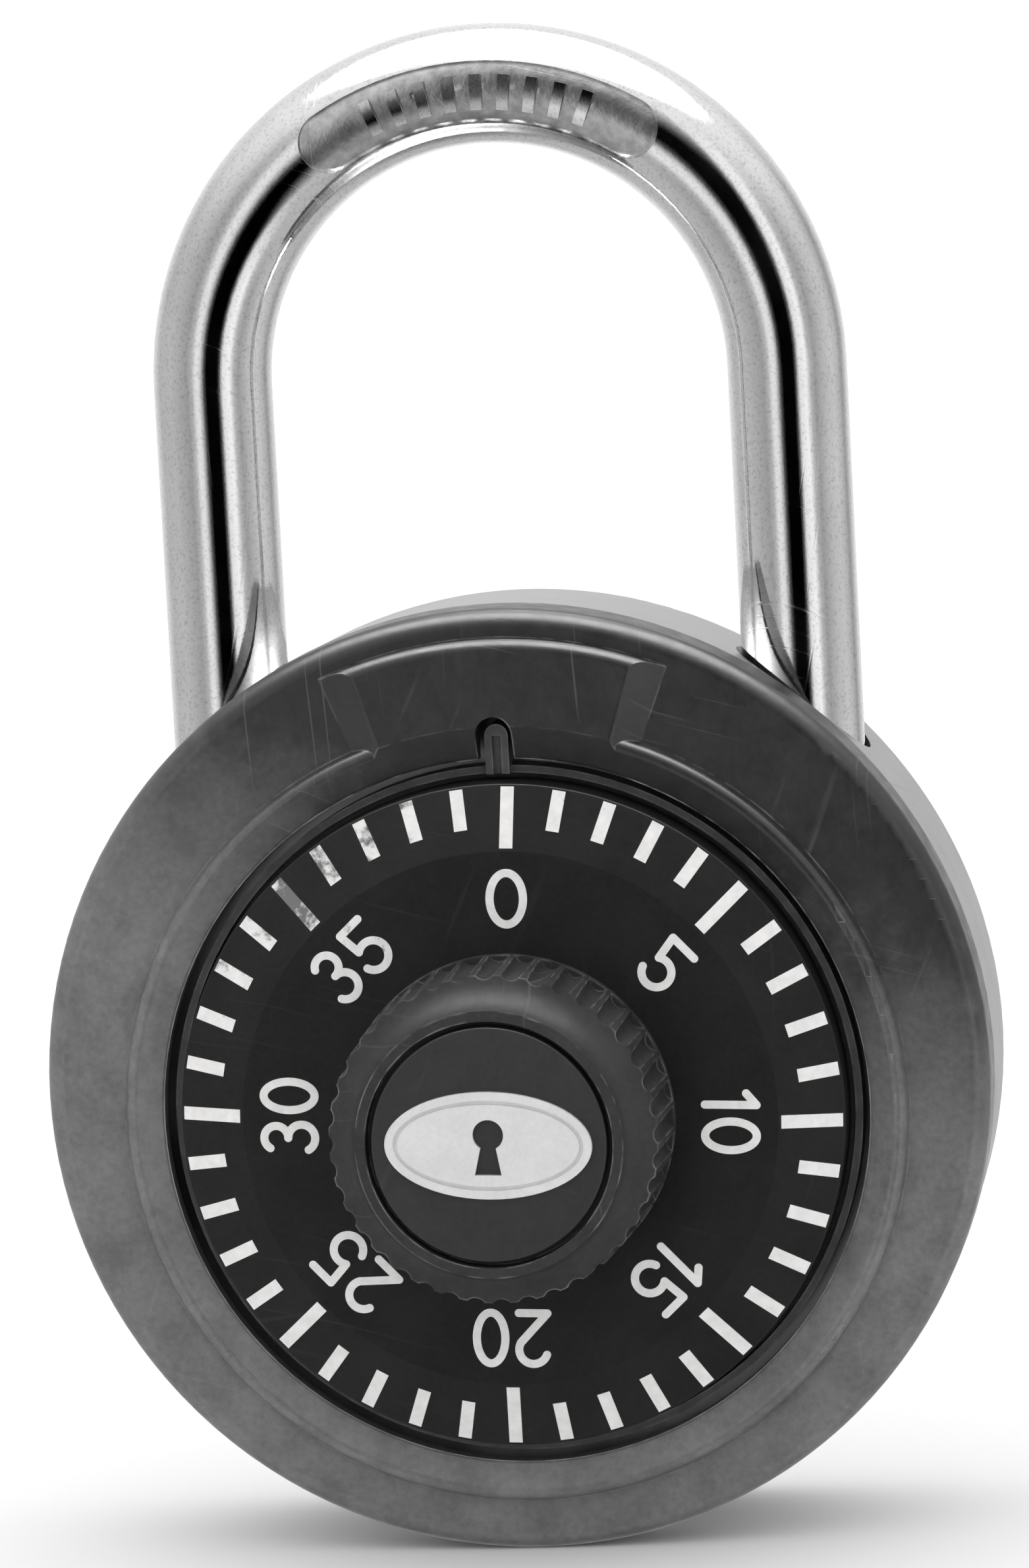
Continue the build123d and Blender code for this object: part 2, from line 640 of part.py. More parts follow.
def digit_places(number):
    """The characters of a number, each with its width and its sideways place about the centre."""
    characters = str(number)
    if len(characters) == 1:
        return [(characters, SINGLE_WIDTH, 0)]
    widths = [ONE_WIDTH if character == "1" else PAIR_WIDTH for character in characters]
    places = []
    start = -(sum(widths) + PAIR_GAP) / 2
    for character, width in zip(characters, widths):
        places.append((character, width, start + width / 2))
        start += width + PAIR_GAP
    return places


with BuildPart() as dial_numerals:
    for step in LONG_STEPS:
        turn = DIAL_TURN - step * 360 / TICK_COUNT
        for character, width, shift in digit_places(step):
            centre = Vector(shift, NUMERAL_R, 0).rotate(Axis.Z, turn)
            upright = Vector(1, 0, 0).rotate(Axis.Z, turn)
            place = Plane(
                origin=(centre.X, -(DIAL_FLAT_HEIGHT - INLAY_DEPTH), DIAL_Z + centre.Y),
                x_dir=(upright.X, 0, upright.Y),
                z_dir=(0, -1, 0),
            )
            with BuildSketch(place):
                draw_digit(character, width)
            extrude(amount=INLAY_DEPTH + INLAY_PROUD)
dial_numerals.part.label = "dial_numerals"
export_step(dial_numerals.part, "parts/dial_numerals.step")

with BuildPart() as dial_plate:
    with BuildSketch(DIAL_SECTION) as dial_section:
        with BuildLine():
            Polyline(
                (SPINDLE_R, DIAL_HUB_BACK),
                (DIAL_HUB_R, DIAL_HUB_BACK),
                (DIAL_HUB_R, DIAL_FLAT_HEIGHT - DIAL_SKIN),
                (DIAL_FLAT_R, DIAL_FLAT_HEIGHT - DIAL_SKIN),
                (DIAL_RIM_INNER_R, DIAL_EDGE_HEIGHT - DIAL_SKIN),
                (DIAL_RIM_INNER_R, DIAL_RIM_BACK),
                (DIAL_R, DIAL_RIM_BACK),
                (DIAL_R, DIAL_EDGE_HEIGHT),
                (DIAL_FLAT_R, DIAL_FLAT_HEIGHT),
                (SPINDLE_R, DIAL_FLAT_HEIGHT),
                close=True,
            )
        make_face()
        fillet(dial_section.vertices().sort_by_distance((DIAL_R, DIAL_EDGE_HEIGHT, 0))[0], DIAL_RIM_EDGE)
    revolve(axis=DIAL_AXIS)
    # The white figures fill pockets in the face.
    add(dial_ticks.part, mode=Mode.SUBTRACT)
    add(dial_numerals.part, mode=Mode.SUBTRACT)
dial_plate.part.label = "dial_plate"
export_step(dial_plate.part, "parts/dial_plate.step")

# ---------------------------------------------------------------- knob, cap and emblem

with BuildPart() as dial_knob:
    with BuildSketch(DIAL_SECTION):
        with BuildLine():
            Polyline(
                (SPINDLE_R, DIAL_FLAT_HEIGHT),
                (KNOB_R, DIAL_FLAT_HEIGHT),
                (KNOB_FRONT_R, KNOB_SHOULDER),
            )
            RadiusArc(
                (KNOB_FRONT_R, KNOB_SHOULDER), (KNOB_FACE_R, KNOB_TOP), KNOB_SHOULDER_R
            )
            Polyline(
                (KNOB_FACE_R, KNOB_TOP),
                (CAP_POCKET_R, KNOB_TOP),
                (CAP_POCKET_R, CAP_BACK),
                (0, CAP_BACK),
                (0, SPINDLE_TOP),
                (SPINDLE_R, SPINDLE_TOP),
                (SPINDLE_R, DIAL_FLAT_HEIGHT),
            )
        make_face()
    revolve(axis=DIAL_AXIS)
    with BuildSketch(dial_facing(FLUTE_START)):
        with PolarLocations(FLUTE_CIRCLE_R, FLUTE_COUNT):
            Circle(FLUTE_R)
    extrude(amount=KNOB_TOP, mode=Mode.SUBTRACT)
dial_knob.part.label = "dial_knob"
export_step(dial_knob.part, "parts/dial_knob.step")

with BuildPart() as cap_emblem:
    # A plain oval plate with a keyhole opening, and a fine groove inside its edge.
    with BuildSketch(turned_facing(EMBLEM_BACK)):
        Ellipse(EMBLEM_HALF_LENGTH, EMBLEM_HALF_WIDTH)
        with Locations((0, KEYHOLE_RISE)):
            Circle(KEYHOLE_R, mode=Mode.SUBTRACT)
        with BuildLine():
            Polyline(
                (-KEYHOLE_WAIST, KEYHOLE_WAIST_RISE),
                (-KEYHOLE_FOOT, -KEYHOLE_FOOT_DROP),
                (KEYHOLE_FOOT, -KEYHOLE_FOOT_DROP),
                (KEYHOLE_WAIST, KEYHOLE_WAIST_RISE),
                close=True,
            )
        make_face(mode=Mode.SUBTRACT)
    extrude(amount=EMBLEM_TOP - EMBLEM_BACK)
    with BuildSketch(turned_facing(EMBLEM_TOP - EMBLEM_GROOVE_DEPTH)):
        Ellipse(EMBLEM_HALF_LENGTH - EMBLEM_BORDER, EMBLEM_HALF_WIDTH - EMBLEM_BORDER)
        groove_inset = EMBLEM_BORDER + EMBLEM_GROOVE
        Ellipse(
            EMBLEM_HALF_LENGTH - groove_inset, EMBLEM_HALF_WIDTH - groove_inset, mode=Mode.SUBTRACT
        )
    extrude(amount=EMBLEM_GROOVE_DEPTH, mode=Mode.SUBTRACT)
cap_emblem.part.label = "cap_emblem"
export_step(cap_emblem.part, "parts/cap_emblem.step")

with BuildPart() as knob_cap:
    with BuildSketch(DIAL_SECTION) as cap_section:
        ring_profile(0, CAP_R, CAP_BACK, CAP_TOP)
        fillet(cap_section.vertices().sort_by_distance((CAP_R, CAP_TOP, 0))[0], CAP_EDGE)
    revolve(axis=DIAL_AXIS)
    add(cap_emblem.part, mode=Mode.SUBTRACT)
knob_cap.part.label = "knob_cap"
export_step(knob_cap.part, "parts/knob_cap.step")

# ---------------------------------------------------------------- shackle, stop ring and guide

STOP_RING_TOP = HEEL_GUIDE_Z - LIFT - 0.2

with BuildPart() as crown_stamp:
    with BuildSketch(facing(SHACKLE_HEIGHT, 0, CROWN_Z)):
        with BuildLine() as stamp_line:
            CenterArc((0, 0), STAMP_R, 90 - STAMP_HALF_ANGLE, 2 * STAMP_HALF_ANGLE)
        SlotArc(stamp_line.edges()[0], STAMP_WIDTH)
    extrude(amount=2 * ROD_R)
    with BuildSketch(CROWN_SECTION):
        with Locations((LEG_X, SHACKLE_HEIGHT)):
            Circle(ROD_R - STAMP_DEPTH)
    revolve(axis=CROWN_AXIS, mode=Mode.SUBTRACT)
    # Short radial bars are left standing in the recess.
    with BuildSketch(facing(SHACKLE_HEIGHT, 0, CROWN_Z)):
        first_bar = 90 - STAMP_BAR_SPAN / 2
        with PolarLocations(STAMP_R, STAMP_BAR_COUNT, first_bar, STAMP_BAR_SPAN, endpoint=True):
            Rectangle(STAMP_BAR_LENGTH, STAMP_BAR_WIDTH)
    extrude(amount=2 * ROD_R, mode=Mode.SUBTRACT)

with BuildPart() as shackle:
    with BuildLine(facing(SHACKLE_HEIGHT)) as rod_path:
        Line((-LEG_X, HEEL_Z), (-LEG_X, CROWN_Z))
        CenterArc((0, CROWN_Z), LEG_X, 180, -180)
        Line((LEG_X, CROWN_Z), (LEG_X, TOE_Z))
    with BuildSketch(Plane(origin=rod_path.line @ 0, z_dir=rod_path.line % 0)):
        Circle(ROD_R)
    sweep()
    chamfer(shackle.faces().filter_by(Axis.Z).edges(), LEG_CHAMFER)
    # The toe's notch: square at the top, with a ramp below that pushes the latch bolt out.
    with BuildSketch(facing(0)):
        with BuildLine():
            notch_mouth = LEG_X - ROD_R
            notch_floor = notch_mouth + NOTCH_DEPTH
            ramp_end = NOTCH_FLAT_END - (NOTCH_DEPTH + 1) / RAMP_RISE
            Polyline(
                (notch_mouth - 1, NOTCH_TOP),
                (notch_floor, NOTCH_TOP),
                (notch_floor, NOTCH_FLAT_END),
                (notch_mouth - 1, ramp_end),
                close=True,
            )
        make_face()
    extrude(amount=2 * SHACKLE_HEIGHT, mode=Mode.SUBTRACT)
    # The groove near the end of the heel holds the stop ring.
    with BuildSketch(Plane.XY.offset(STOP_RING_TOP - STOP_RING_THICKNESS)):
        with Locations((-LEG_X, -SHACKLE_HEIGHT)):
            Circle(ROD_R + 1)
            Circle(STOP_GROOVE_R, mode=Mode.SUBTRACT)
    extrude(amount=STOP_RING_THICKNESS, mode=Mode.SUBTRACT)
    # A shallow stamped recess follows the front of the crown.
    add(crown_stamp.part, mode=Mode.SUBTRACT)
shackle.part.label = "shackle"
export_step(shackle.part, "parts/shackle.step")

with BuildPart() as heel_stop_ring:
    with BuildSketch(Plane.XY.offset(STOP_RING_TOP - STOP_RING_THICKNESS)):
        with Locations((-LEG_X, -SHACKLE_HEIGHT)):
            Circle(STOP_RING_R)
            Circle(STOP_GROOVE_R, mode=Mode.SUBTRACT)
        # The mouth of the ring faces the back of the case.
        with Locations((-LEG_X, -SHACKLE_HEIGHT + STOP_RING_R)):
            Rectangle(1.6 * STOP_GROOVE_R, 2 * STOP_GROOVE_R, mode=Mode.SUBTRACT)
    extrude(amount=STOP_RING_THICKNESS)
heel_stop_ring.part.label = "heel_stop_ring"
export_step(heel_stop_ring.part, "parts/heel_stop_ring.step")

with BuildPart() as shackle_guide:
    with BuildSketch(facing(GUIDE_BACK)):
        # Heel pillar, toe boss, the rail outside the toe, and the curved bridge between them.
        with Locations((-(GUIDE_INNER_X + CASE_R) / 2, (HEEL_GUIDE_Z + CASE_R) / 2)):
            Rectangle(CASE_R - GUIDE_INNER_X, CASE_R - HEEL_GUIDE_Z)
        with Locations(((GUIDE_INNER_X + CASE_R) / 2, (TOE_GUIDE_Z + CASE_R) / 2)):
            Rectangle(CASE_R - GUIDE_INNER_X, CASE_R - TOE_GUIDE_Z)
        with Locations(((LEG_X + CASE_R) / 2, (TOE_RAIL_Z + CASE_R) / 2)):
            Rectangle(CASE_R - LEG_X, CASE_R - TOE_RAIL_Z)
        with Locations((0, (TOE_GUIDE_Z + CASE_R) / 2)):
            Rectangle(2 * GUIDE_INNER_X, CASE_R - TOE_GUIDE_Z)
        with Locations((0, 0)):
            Circle(GUIDE_R, mode=Mode.INTERSECT)
    extrude(amount=GUIDE_FRONT - GUIDE_BACK)
    with BuildSketch(facing(GUIDE_BACK)):
        Circle(BRIDGE_INNER_R)
        with Locations((-(GUIDE_INNER_X + CASE_R) / 2, 0), ((GUIDE_INNER_X + CASE_R) / 2, 0)):
            Rectangle(CASE_R - GUIDE_INNER_X, 2 * CASE_R, mode=Mode.SUBTRACT)
    extrude(amount=GUIDE_FRONT - GUIDE_BACK, mode=Mode.SUBTRACT)
    with BuildSketch(Plane.XY):
        with Locations((-LEG_X, -SHACKLE_HEIGHT), (LEG_X, -SHACKLE_HEIGHT)):
            Circle(GUIDE_BORE_R)
    extrude(amount=CASE_R, mode=Mode.SUBTRACT)
    # A pad on the bridge stands against the front plate.
    with BuildSketch(facing(GUIDE_FRONT)):
        Circle(GUIDE_PAD_R)
        Circle(BRIDGE_INNER_R, mode=Mode.SUBTRACT)
        with Locations((0, CASE_R)):
            Rectangle(2 * GUIDE_INNER_X - 2, 2 * (CASE_R - TOE_GUIDE_Z), mode=Mode.INTERSECT)
    extrude(amount=PLATE_BACK - GUIDE_FRONT)
    with BuildSketch(facing(GUIDE_BACK)):
        with Locations((-RIVET_X, RIVET_Z), (RIVET_X, RIVET_Z)):
            Circle(RIVET_R)
    extrude(amount=PLATE_BACK - GUIDE_BACK, mode=Mode.SUBTRACT)
    with BuildSketch(facing(GUIDE_BACK)):
        with Locations((-RIVET_X, RIVET_Z), (RIVET_X, RIVET_Z)):
            Circle(RIVET_HEAD_R)
    extrude(amount=RIVET_HEAD, mode=Mode.SUBTRACT)
shackle_guide.part.label = "shackle_guide"
export_step(shackle_guide.part, "parts/shackle_guide.step")

with BuildPart() as guide_rivets:
    with BuildSketch(facing(GUIDE_BACK)):
        with Locations((-RIVET_X, RIVET_Z), (RIVET_X, RIVET_Z)):
            Circle(RIVET_HEAD_R)
    extrude(amount=RIVET_HEAD)
    with BuildSketch(facing(GUIDE_BACK)):
        with Locations((-RIVET_X, RIVET_Z), (RIVET_X, RIVET_Z)):
            Circle(RIVET_R)
    extrude(amount=PLATE_FRONT - GUIDE_BACK)
guide_rivets.part.label = "guide_rivets"
export_step(guide_rivets.part, "parts/guide_rivets.step")

# ---------------------------------------------------------------- latch bolt, collar and spring

with BuildPart() as latch_bolt:
    bolt_tip = notch_floor - BOLT_GAP
    head_bottom = BOLT_TIP_END - (bolt_tip - BOLT_HEAD_X) / RAMP_RISE
    head_back = SHACKLE_HEIGHT - BOLT_HEAD_THICKNESS / 2
    with BuildSketch(facing(head_back)):
        with BuildLine():
            Polyline(
                (BOLT_HEAD_X, BOLT_TOP),
                (bolt_tip, BOLT_TOP),
                (bolt_tip, BOLT_TIP_END),
                (BOLT_HEAD_X, head_bottom),
                close=True,
            )
        make_face()
    extrude(amount=BOLT_HEAD_THICKNESS)
    tail_half = BOLT_TAIL / 2
    block(
        BOLT_TAIL_END_X,
        BOLT_HEAD_X,
        BOLT_TAIL_Z - tail_half,
        BOLT_TAIL_Z + tail_half,
        SHACKLE_HEIGHT - tail_half,
        SHACKLE_HEIGHT + tail_half,
    )
latch_bolt.part.label = "latch_bolt"
export_step(latch_bolt.part, "parts/latch_bolt.step")


def bolt_facing(x):
    """A plane across the bolt's tail at x, facing the toe."""
    return Plane(origin=(x, -SHACKLE_HEIGHT, BOLT_TAIL_Z), x_dir=(0, 1, 0), z_dir=(1, 0, 0))


with BuildPart() as bolt_collar:
    with BuildSketch(bolt_facing(COLLAR_X)):
        Circle(COLLAR_R)
        Rectangle(BOLT_TAIL, BOLT_TAIL, mode=Mode.SUBTRACT)
    extrude(amount=COLLAR_THICKNESS)
bolt_collar.part.label = "bolt_collar"
export_step(bolt_collar.part, "parts/bolt_collar.step")

with BuildPart() as bolt_spring:
    spring_start = INNER_LUG_X + LUG_PLATE + BOLT_SPRING_WIRE
    spring_length = COLLAR_X - BOLT_SPRING_WIRE - spring_start
    with BuildLine():
        bolt_coil = Helix(
            pitch=BOLT_SPRING_PITCH,
            height=spring_length,
            radius=BOLT_SPRING_R,
            center=(spring_start, -SHACKLE_HEIGHT, BOLT_TAIL_Z),
            direction=(1, 0, 0),
        )
    with BuildSketch(Plane(origin=bolt_coil @ 0, z_dir=bolt_coil % 0)):
        Circle(BOLT_SPRING_WIRE)
    sweep(path=bolt_coil, is_frenet=True)
bolt_spring.part.label = "bolt_spring"
export_step(bolt_spring.part, "parts/bolt_spring.step")

# ---------------------------------------------------------------- latch lever, pin, clip and spring

with BuildPart() as latch_lever:
    fence_direction = Vector(cos(radians(GATE_ANGLE)), sin(radians(GATE_ANGLE)), 0)
    fence_mid_r = WHEEL_R + FENCE_GAP + FENCE_LENGTH / 2
    fence_x = fence_mid_r * fence_direction.X
    fence_z = DIAL_Z + fence_mid_r * fence_direction.Y
    bolt_mid_x = (OUTER_LUG_X + INNER_LUG_X) / 2 + LUG_PLATE
    with BuildSketch(facing(LEVER_BACK)):
        # Eye, arm and the plate that carries the bolt.
        with Locations((PIVOT_X, PIVOT_Z)):
            Circle(LEVER_EYE_R)
        with BuildLine() as lower_arm:
            Line((PIVOT_X, PIVOT_Z), (fence_x + 1, fence_z))
        trace(lower_arm.line, line_width=LEVER_ARM_WIDTH)
        with BuildLine() as upper_arm:
            Line((fence_x + 1, fence_z), (OUTER_LUG_X - 1, BOLT_TAIL_Z))
        trace(upper_arm.line, line_width=LEVER_ARM_WIDTH)
        with Locations((fence_x + 1, fence_z)):
            Circle(LEVER_ARM_WIDTH / 2)
        bolt_plate_low = INNER_LUG_X
        bolt_plate_high = OUTER_LUG_X + LUG_PLATE
        with Locations(
            ((bolt_plate_low + bolt_plate_high) / 2, (LUG_PLATE_BOTTOM + LUG_PLATE_TOP) / 2)
        ):
            Rectangle(bolt_plate_high - bolt_plate_low, LUG_PLATE_TOP - LUG_PLATE_BOTTOM)
        with Locations((PIVOT_X, PIVOT_Z)):
            Circle(LEVER_BORE_R, mode=Mode.SUBTRACT)
    extrude(amount=LEVER_FRONT - LEVER_BACK)
    # Boss on the pivot.
    with BuildSketch(facing(LEVER_FRONT)):
        with Locations((PIVOT_X, PIVOT_Z)):
            Circle(LEVER_BOSS_R)
            Circle(LEVER_BORE_R, mode=Mode.SUBTRACT)
    extrude(amount=LEVER_BOSS_TOP - LEVER_FRONT)
    # The fence is a bar across all three wheels.
    with BuildSketch(dial_facing(LEVER_BACK)):
        with PolarLocations(fence_mid_r, 1, start_angle=GATE_ANGLE):
            Rectangle(FENCE_LENGTH, FENCE_WIDTH)
    extrude(amount=FENCE_TOP - LEVER_BACK)
    # Two lugs with square windows carry the bolt.
    window_half = BOLT_TAIL / 2 + WINDOW_PLAY
    for lug_x in (INNER_LUG_X, OUTER_LUG_X):
        block(lug_x, lug_x + LUG_PLATE, LUG_PLATE_BOTTOM, LUG_PLATE_TOP, LEVER_FRONT, LUG_PLATE_FRONT)
        block(
            lug_x,
            lug_x + LUG_PLATE,
            BOLT_TAIL_Z - window_half,
            BOLT_TAIL_Z + window_half,
            SHACKLE_HEIGHT - window_half,
            SHACKLE_HEIGHT + window_half,
            mode=Mode.SUBTRACT,
        )
latch_lever.part.label = "latch_lever"
export_step(latch_lever.part, "parts/latch_lever.step")

with BuildPart() as lever_pivot_pin:
    with BuildSketch(facing(PIN_BACK, PIVOT_X, PIVOT_Z)):
        Circle(PIVOT_R)
    extrude(amount=PLATE_FRONT - PIN_BACK)
    with BuildSketch(facing(PIN_SHOULDER_BACK, PIVOT_X, PIVOT_Z)):
        Circle(PIN_SHOULDER_R)
    extrude(amount=PLATE_BACK - PIN_SHOULDER_BACK)
    with BuildSketch(facing(CLIP_BACK, PIVOT_X, PIVOT_Z)):
        Circle(PIVOT_R)
        Circle(CLIP_INNER_R, mode=Mode.SUBTRACT)
    extrude(amount=CLIP_THICKNESS, mode=Mode.SUBTRACT)
lever_pivot_pin.part.label = "lever_pivot_pin"
export_step(lever_pivot_pin.part, "parts/lever_pivot_pin.step")

with BuildPart() as pivot_clip:
    with BuildSketch(facing(CLIP_BACK, PIVOT_X, PIVOT_Z)):
        Circle(CLIP_OUTER_R)
        Circle(CLIP_INNER_R, mode=Mode.SUBTRACT)
        with Locations((0, -CLIP_OUTER_R)):
            Rectangle(1.6 * CLIP_INNER_R, 2 * CLIP_OUTER_R, mode=Mode.SUBTRACT)
    extrude(amount=CLIP_THICKNESS)
pivot_clip.part.label = "pivot_clip"
export_step(pivot_clip.part, "parts/pivot_clip.step")

with BuildPart() as lever_spring:
    # A left-hand coil: one leg runs to the side wall, the other up to the fence.
    with BuildLine():
        lever_coil = Helix(
            pitch=LEVER_SPRING_PITCH,
            height=LEVER_SPRING_TURNS * LEVER_SPRING_PITCH,
            radius=LEVER_SPRING_R,
            center=(PIVOT_X, -LEVER_SPRING_BACK, PIVOT_Z),
            direction=(0, -1, 0),
            lefthand=True,
        )
    with BuildSketch(Plane(origin=lever_coil @ 0, z_dir=lever_coil % 0)):
        Circle(LEVER_SPRING_WIRE)
    sweep(path=lever_coil, is_frenet=True)
    with BuildSketch(Plane(origin=lever_coil @ 0, z_dir=-(lever_coil % 0))):
        Circle(LEVER_SPRING_WIRE)
    extrude(amount=LEVER_SPRING_LOWER_LEG)
    with BuildSketch(Plane(origin=lever_coil @ 1, z_dir=lever_coil % 1)):
        Circle(LEVER_SPRING_WIRE)
    extrude(amount=LEVER_SPRING_UPPER_LEG)
lever_spring.part.label = "lever_spring"
export_step(lever_spring.part, "parts/lever_spring.step")
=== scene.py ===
import json
import math

import bpy
from mathutils import Matrix, Vector


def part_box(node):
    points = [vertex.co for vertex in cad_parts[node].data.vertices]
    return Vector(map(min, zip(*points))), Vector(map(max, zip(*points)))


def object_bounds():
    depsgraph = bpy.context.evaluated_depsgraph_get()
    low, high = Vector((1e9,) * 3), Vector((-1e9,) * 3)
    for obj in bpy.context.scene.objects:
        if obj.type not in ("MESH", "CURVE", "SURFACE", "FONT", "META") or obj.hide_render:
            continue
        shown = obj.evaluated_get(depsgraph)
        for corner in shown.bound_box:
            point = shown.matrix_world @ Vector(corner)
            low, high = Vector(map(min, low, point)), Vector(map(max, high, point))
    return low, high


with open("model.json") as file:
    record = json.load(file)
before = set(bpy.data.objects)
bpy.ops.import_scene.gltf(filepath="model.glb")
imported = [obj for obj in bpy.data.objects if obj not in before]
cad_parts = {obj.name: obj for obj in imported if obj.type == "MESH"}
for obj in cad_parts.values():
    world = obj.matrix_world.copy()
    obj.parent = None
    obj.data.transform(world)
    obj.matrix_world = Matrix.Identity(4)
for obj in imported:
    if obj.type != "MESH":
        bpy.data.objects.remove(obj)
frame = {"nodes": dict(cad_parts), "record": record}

# Looks of the round combination padlock: one finish for each material slot, a floor, a camera and a studio.
# Metres, in the frame of the CAD: +Z up towards the shackle, the dial faces -Y.

MM = 0.001
cad_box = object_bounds()


# ---------------------------------------------------------------- places taken from the frame
def middle(node):
    """The centre of a CAD node's box."""
    low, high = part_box(node)
    return (low + high) / 2


def half_width(node):
    """Half of a CAD node's width along X."""
    low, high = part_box(node)
    return (high.x - low.x) / 2


DIAL_CENTRE = middle("dial_plate")
DIAL_R = half_width("dial_plate")
SHACKLE_LOW, SHACKLE_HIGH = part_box("shackle")
ROD_R = (SHACKLE_HIGH.y - SHACKLE_LOW.y) / 2
CROWN_CENTRE = Vector((0, middle("shackle").y, SHACKLE_HIGH.z - half_width("shackle")))
CROWN_R = half_width("shackle") - ROD_R


# ---------------------------------------------------------------- node helpers
class Nodes:
    """Adds shader nodes to one tree and joins them up."""

    def __init__(self, tree):
        self.tree = tree
        tree.nodes.clear()

    def add(self, kind, settings=None, **inputs):
        made = self.tree.nodes.new("ShaderNode" + kind)
        for name, value in (settings or {}).items():
            setattr(made, name, value)
        for name, value in inputs.items():
            self.set(made, name.replace("_", " "), value)
        return made

    def set(self, made, name, value):
        """Links a socket to an input, or sets the input's own value. A name of digits is an index."""
        socket = made.inputs[int(name)] if name.isdigit() else made.inputs[name]
        if isinstance(value, bpy.types.NodeSocket):
            self.tree.links.new(value, socket)
        else:
            socket.default_value = value

    def math(self, operation, *values):
        made = self.add("Math", {"operation": operation})
        for index, value in enumerate(values):
            self.set(made, str(index), value)
        return made.outputs[0]

    def plus(self, first, second):
        return self.math("ADD", first, second)

    def minus(self, first, second):
        return self.math("SUBTRACT", first, second)

    def times(self, first, second):
        return self.math("MULTIPLY", first, second)

    def hypotenuse(self, first, second):
        return self.math("SQRT", self.plus(self.times(first, first), self.times(second, second)))

    def vector(self, operation, *values):
        """A vector operation whose result is one number."""
        made = self.add("VectorMath", {"operation": operation})
        for index, value in enumerate(values):
            self.set(made, str(index), value)
        return made.outputs["Value"]

    def span(self, value, low, high, to_low=0.0, to_high=1.0, smooth=False):
        """Maps low..high onto to_low..to_high, held at the ends."""
        made = self.add("MapRange", {"interpolation_type": "SMOOTHSTEP" if smooth else "LINEAR"})
        names = ("Value", "From Min", "From Max", "To Min", "To Max")
        for name, number in zip(names, (value, low, high, to_low, to_high)):
            self.set(made, name, number)
        return made.outputs["Result"]

    def noise(self, place, scale, detail=2.0, roughness=0.5):
        made = self.add("TexNoise", Vector=place, Scale=scale, Detail=detail, Roughness=roughness)
        return made.outputs["Fac"]

    def blend(self, amount, first, second):
        """Mixes two colours."""
        made = self.add("Mix", {"data_type": "RGBA"})
        self.set(made, "0", amount)
        self.set(made, "6", first)
        self.set(made, "7", second)
        return made.outputs[2]

    def mottle(self, amount, colour, share):
        """A colour that swings darker and lighter by a share of itself."""
        return self.blend(amount, dimmed(colour, 1 - share), dimmed(colour, 1 + share))

    def split(self, place):
        return self.add("SeparateXYZ", Vector=place).outputs

    def join(self, x, y, z):
        return self.add("CombineXYZ", X=x, Y=y, Z=z).outputs[0]


def grey(value, warmth=0.0):
    """A nearly neutral colour; warmth tips it to yellow or, below zero, to blue."""
    return (value * (1 + warmth), value, value * (1 - warmth), 1.0)


def dimmed(colour, share):
    return tuple(channel * share for channel in colour[:3]) + (1.0,)


# ---------------------------------------------------------------- patterns, all in metres on the part
SCRATCH_TURNS = (0.35, 1.5, 2.6)  # one family of scratches for each direction
SCRATCH_STRETCH = (60, 5200, 60)
SCRATCH_PATCH = 90.0
RING_SCALE = 5200.0
RING_DRIFT = 0.02  # how far the turned lines wander off true circles
EDGE_WIDTH = 0.16 * MM
EDGE_BREAKUP = 700.0


def around_axis(nodes, place):
    """Coordinates that hardly change round the dial axis, for turned and drawn metal."""
    x, y, z = nodes.split(place)
    across = nodes.plus(nodes.hypotenuse(x, z), y)
    return nodes.join(across, nodes.times(x, RING_DRIFT), nodes.times(z, RING_DRIFT))


def scratches(nodes, place, seed, amount):
    """Sparse fine scratches in three directions, as a mask."""
    mask = None
    for turn in SCRATCH_TURNS:
        turned = nodes.add("Mapping", Vector=place, Location=(seed, seed * 2, seed * 3),
                           Rotation=(turn, turn * 2, turn)).outputs[0]
        stretched = nodes.add("Mapping", Vector=turned, Scale=SCRATCH_STRETCH).outputs[0]
        line = nodes.span(nodes.noise(stretched, 1.0, 1.0), 0.68, 0.74)
        gate = nodes.span(nodes.noise(turned, SCRATCH_PATCH, 1.0), 0.5, 0.62)
        family = nodes.times(line, gate)
        mask = family if mask is None else nodes.math("MAXIMUM", mask, family)
    return nodes.times(mask, amount)


def edge_mask(nodes, place):
    """Where the surface turns sharply, broken up by noise."""
    rounded = nodes.add("Bevel", {"samples": 4}, Radius=EDGE_WIDTH).outputs[0]
    true_normal = nodes.add("NewGeometry").outputs["True Normal"]
    turn = nodes.minus(1.0, nodes.vector("DOT_PRODUCT", rounded, true_normal))
    spots = nodes.span(nodes.noise(place, EDGE_BREAKUP, 3.0), 0.42, 0.62)
    return nodes.times(nodes.span(turn, 0.015, 0.12), spots)


def begin(name):
    """A new material, with its node helper and its coordinates on the part."""
    material = bpy.data.materials.new(name)
    material.use_nodes = True
    nodes = Nodes(material.node_tree)
    place = nodes.add("TexCoord").outputs["Object"]
    return material, nodes, place


def end(nodes, colour, roughness, height, bump, metallic, **plain):
    """One Principled shader; bump is a strength and a distance. Even values sit on its own sockets."""
    shader = nodes.add("BsdfPrincipled")
    nodes.set(shader, "Base Color", colour)
    nodes.set(shader, "Roughness", roughness)
    nodes.set(shader, "Metallic", metallic)
    for name, value in plain.items():
        shader.inputs[name.replace("_", " ")].default_value = value
    relief = nodes.add("Bump", Height=height, Strength=bump[0], Distance=bump[1]).outputs[0]
    nodes.set(shader, "Normal", relief)
    output = nodes.add("OutputMaterial")
    nodes.tree.links.new(shader.outputs[0], output.inputs[0])


